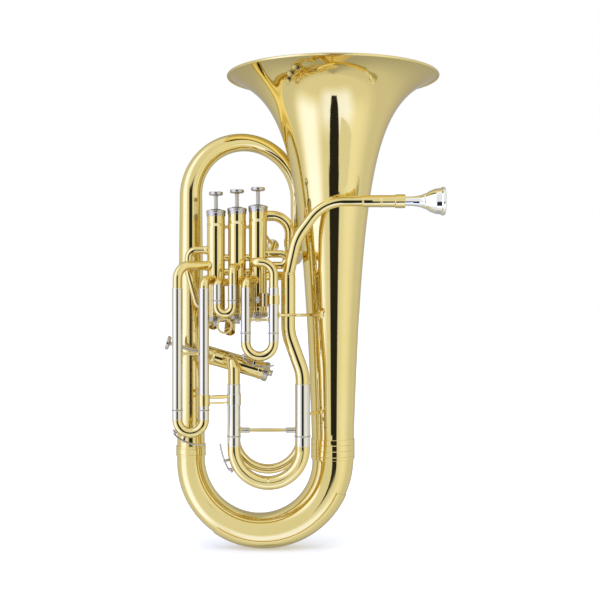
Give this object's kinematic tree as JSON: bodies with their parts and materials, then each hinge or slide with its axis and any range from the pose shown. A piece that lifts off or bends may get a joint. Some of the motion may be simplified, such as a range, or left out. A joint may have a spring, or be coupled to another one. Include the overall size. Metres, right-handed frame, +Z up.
{
  "type": "euphonium",
  "caption": "Compensating euphonium in lacquered brass with upright piston valves, a side piston valve, pull-out tuning slides, water keys and a removable mouthpiece.",
  "frame": {"origin": "lowest point of the bottom bow's guard, where a stand's cradle holds the bow", "axes": "+Z up along the bell, +X towards the mouthpiece, -Y the side that the slides are on"},
  "size_m": [0.37, 0.29, 0.6466],
  "materials": {
    "lacquered_brass": "polished yellow brass under clear gold lacquer",
    "slide_sleeves": "lacquered brass necks with polished nickel-silver sleeves",
    "nickel_silver": "polished nickel silver",
    "silver_plate": "silver plate over brass, mirror polished",
    "piston_alloy": "ground nickel alloy",
    "spring_steel": "drawn wire"
  },
  "bodies": {
    "horn": {"bell": "lacquered_brass", "bell_ferrule": "lacquered_brass", "bell_brace": "lacquered_brass", "bottom_bow": "lacquered_brass", "bow_guard": "lacquered_brass", "bow_ferrule": "lacquered_brass", "outer_branch": "lacquered_brass", "leadpipe": "lacquered_brass", "mouthpiece_receiver": "nickel_silver", "valve_casing_1": "lacquered_brass", "valve_casing_2": "lacquered_brass", "valve_casing_3": "lacquered_brass", "valve_casing_4": "lacquered_brass", "top_cap_1": "nickel_silver", "top_cap_2": "nickel_silver", "top_cap_3": "nickel_silver", "top_cap_4": "nickel_silver", "bottom_cap_1": "nickel_silver", "bottom_cap_2": "nickel_silver", "bottom_cap_3": "nickel_silver", "bottom_cap_4": "nickel_silver", "valve_spring_1": "spring_steel", "valve_spring_2": "spring_steel", "valve_spring_3": "spring_steel", "valve_spring_4": "spring_steel", "first_tube_left": "slide_sleeves", "first_tube_right": "slide_sleeves", "second_tube_left": "slide_sleeves", "second_tube_right": "slide_sleeves", "third_tube_left": "slide_sleeves", "third_tube_right": "slide_sleeves", "main_tube_left": "slide_sleeves", "main_tube_right": "slide_sleeves", "fourth_tube_left": "slide_sleeves", "fourth_tube_right": "slide_sleeves", "compensating_loop_1": "lacquered_brass", "compensating_loop_3": "lacquered_brass", "return_tube": "lacquered_brass", "transfer_tube_left": "lacquered_brass", "transfer_tube_right": "lacquered_brass", "slide_stay": "lacquered_brass", "lyre_holder": "lacquered_brass"},
    "piston_1": {"piston_1": "piston_alloy", "valve_stem_1": "nickel_silver"},
    "piston_2": {"piston_2": "piston_alloy", "valve_stem_2": "nickel_silver"},
    "piston_3": {"piston_3": "piston_alloy", "valve_stem_3": "nickel_silver"},
    "piston_4": {"piston_4": "piston_alloy", "valve_stem_4": "nickel_silver"},
    "main_slide": {"main_slide": "lacquered_brass"},
    "first_slide": {"first_slide": "lacquered_brass"},
    "second_slide": {"second_slide": "lacquered_brass"},
    "third_slide": {"third_slide": "lacquered_brass"},
    "fourth_slide": {"fourth_slide": "lacquered_brass"},
    "water_key_main": {"water_key_main": "nickel_silver"},
    "water_key_first": {"water_key_first": "nickel_silver"},
    "water_key_third": {"water_key_third": "nickel_silver"},
    "mouthpiece": {"mouthpiece": "silver_plate"},
    "lyre_screw": {"lyre_screw": "nickel_silver"}
  },
  "joints": [
    {"name": "valve_1_press", "type": "slide", "parent": "horn", "child": "piston_1", "axis": [0, 0, -1], "range_m": [0, 0.0165], "stiffness_N_per_m": 100, "springref_m": -0.02, "deforming": ["valve_spring_1"]},
    {"name": "valve_2_press", "type": "slide", "parent": "horn", "child": "piston_2", "axis": [0, 0, -1], "range_m": [0, 0.0165], "stiffness_N_per_m": 100, "springref_m": -0.02, "deforming": ["valve_spring_2"]},
    {"name": "valve_3_press", "type": "slide", "parent": "horn", "child": "piston_3", "axis": [0, 0, -1], "range_m": [0, 0.0165], "stiffness_N_per_m": 100, "springref_m": -0.02, "deforming": ["valve_spring_3"]},
    {"name": "valve_4_press", "type": "slide", "parent": "horn", "child": "piston_4", "axis": [0.9593, 0, -0.2823], "range_m": [0, 0.0165], "stiffness_N_per_m": 100, "springref_m": -0.02, "deforming": ["valve_spring_4"]},
    {"name": "main_slide_pull", "type": "slide", "parent": "horn", "child": "main_slide", "axis": [0, 0, -1], "range_m": [0, 0.045]},
    {"name": "first_slide_pull", "type": "slide", "parent": "horn", "child": "first_slide", "axis": [0, 0, -1], "range_m": [0, 0.038]},
    {"name": "second_slide_pull", "type": "slide", "parent": "horn", "child": "second_slide", "axis": [0, 0, -1], "range_m": [0, 0.01]},
    {"name": "third_slide_pull", "type": "slide", "parent": "horn", "child": "third_slide", "axis": [0, 0, -1], "range_m": [0, 0.1]},
    {"name": "fourth_slide_pull", "type": "slide", "parent": "horn", "child": "fourth_slide", "axis": [0, 0, -1], "range_m": [0, 0.028]},
    {"name": "water_key_main_press", "type": "hinge", "parent": "main_slide", "child": "water_key_main", "pos_m": [-0.04716, -0.062, 0.12792], "axis": [0, 1, 0], "range_deg": [0, 12], "stiffness_Nm_per_rad": 0.05, "springref_deg": -14.32},
    {"name": "water_key_first_press", "type": "hinge", "parent": "first_slide", "child": "water_key_first", "pos_m": [-0.00714, -0.078, 0.25472], "axis": [0, -1, 0], "range_deg": [0, 12], "stiffness_Nm_per_rad": 0.05, "springref_deg": -14.32},
    {"name": "water_key_third_press", "type": "hinge", "parent": "third_slide", "child": "water_key_third", "pos_m": [-0.09866, -0.078, 0.15588], "axis": [0, -1, 0], "range_deg": [0, 14], "stiffness_Nm_per_rad": 0.05, "springref_deg": -14.32},
    {"name": "mouthpiece_pull", "type": "slide", "parent": "horn", "child": "mouthpiece", "axis": [1, 0, 0], "range_m": [0, 0.06]},
    {"name": "lyre_screw_turn", "type": "hinge", "parent": "horn", "child": "lyre_screw", "pos_m": [0.00685, -0.078, 0.34], "axis": [-1, 0, 0], "continuous": true}
  ]
}
